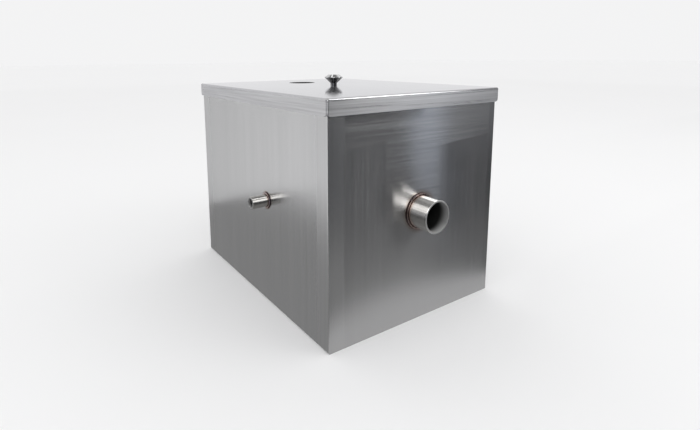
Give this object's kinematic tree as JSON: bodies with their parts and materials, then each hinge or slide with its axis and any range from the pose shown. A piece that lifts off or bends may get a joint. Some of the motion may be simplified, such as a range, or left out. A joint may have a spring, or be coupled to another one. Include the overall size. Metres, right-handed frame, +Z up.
{
  "type": "grease trap",
  "caption": "Box-shaped stainless grease trap: folded tank with loose lid, inlet hole, polished knob, strainer basket, slide-in baffles, outlet stub and grease draw-off stub.",
  "frame": {"origin": "middle of the tank's underside, on the surface it stands on", "axes": "+Z up; -Y out of the outlet side; -X out of the side with the draw-off stub"},
  "size_m": [0.3294, 0.4354, 0.3337],
  "materials": {
    "brushed_tank": "brushed stainless sheet, upright grain on the sides and level grain on the ends, belt-ground corner seams",
    "brushed_lid": "fine brushed stainless sheet, almost mirror-like at a low angle",
    "ground_tube": "stainless tube ground around its axis",
    "tinted_weld": "rippled weld bead with brown and straw heat tint",
    "polished_knob": "turned and mirror polished",
    "bright_fastener": "plain bright stainless",
    "mill_sheet": "dull mill-finish stainless sheet",
    "perforated_sheet": "punched stainless sheet",
    "drawn_wire": "drawn stainless wire"
  },
  "bodies": {
    "tank": {"tank_wrapper": "brushed_tank", "front_panel": "brushed_tank", "rear_panel": "brushed_tank", "outlet_pipe": "ground_tube", "outlet_weld": "tinted_weld", "drain_pipe": "ground_tube", "drain_weld": "tinted_weld", "lid_pan": "brushed_lid", "lid_knob": "polished_knob", "knob_screw": "bright_fastener", "knob_washer": "bright_fastener", "weir_baffle": "mill_sheet", "hanging_baffle": "mill_sheet", "weir_guide_left": "mill_sheet", "weir_guide_right": "mill_sheet", "hanging_guide_left": "mill_sheet", "hanging_guide_right": "mill_sheet", "strainer_basket": "perforated_sheet", "basket_rail_left": "mill_sheet", "basket_rail_right": "mill_sheet"},
    "bail": {"basket_bail": "drawn_wire"}
  },
  "joints": [
    {"name": "bail_swing", "type": "hinge", "parent": "tank", "child": "bail", "pos_m": [0, 0.1, 0.22], "axis": [1, 0, 0], "range_deg": [0, 159.7]}
  ]
}
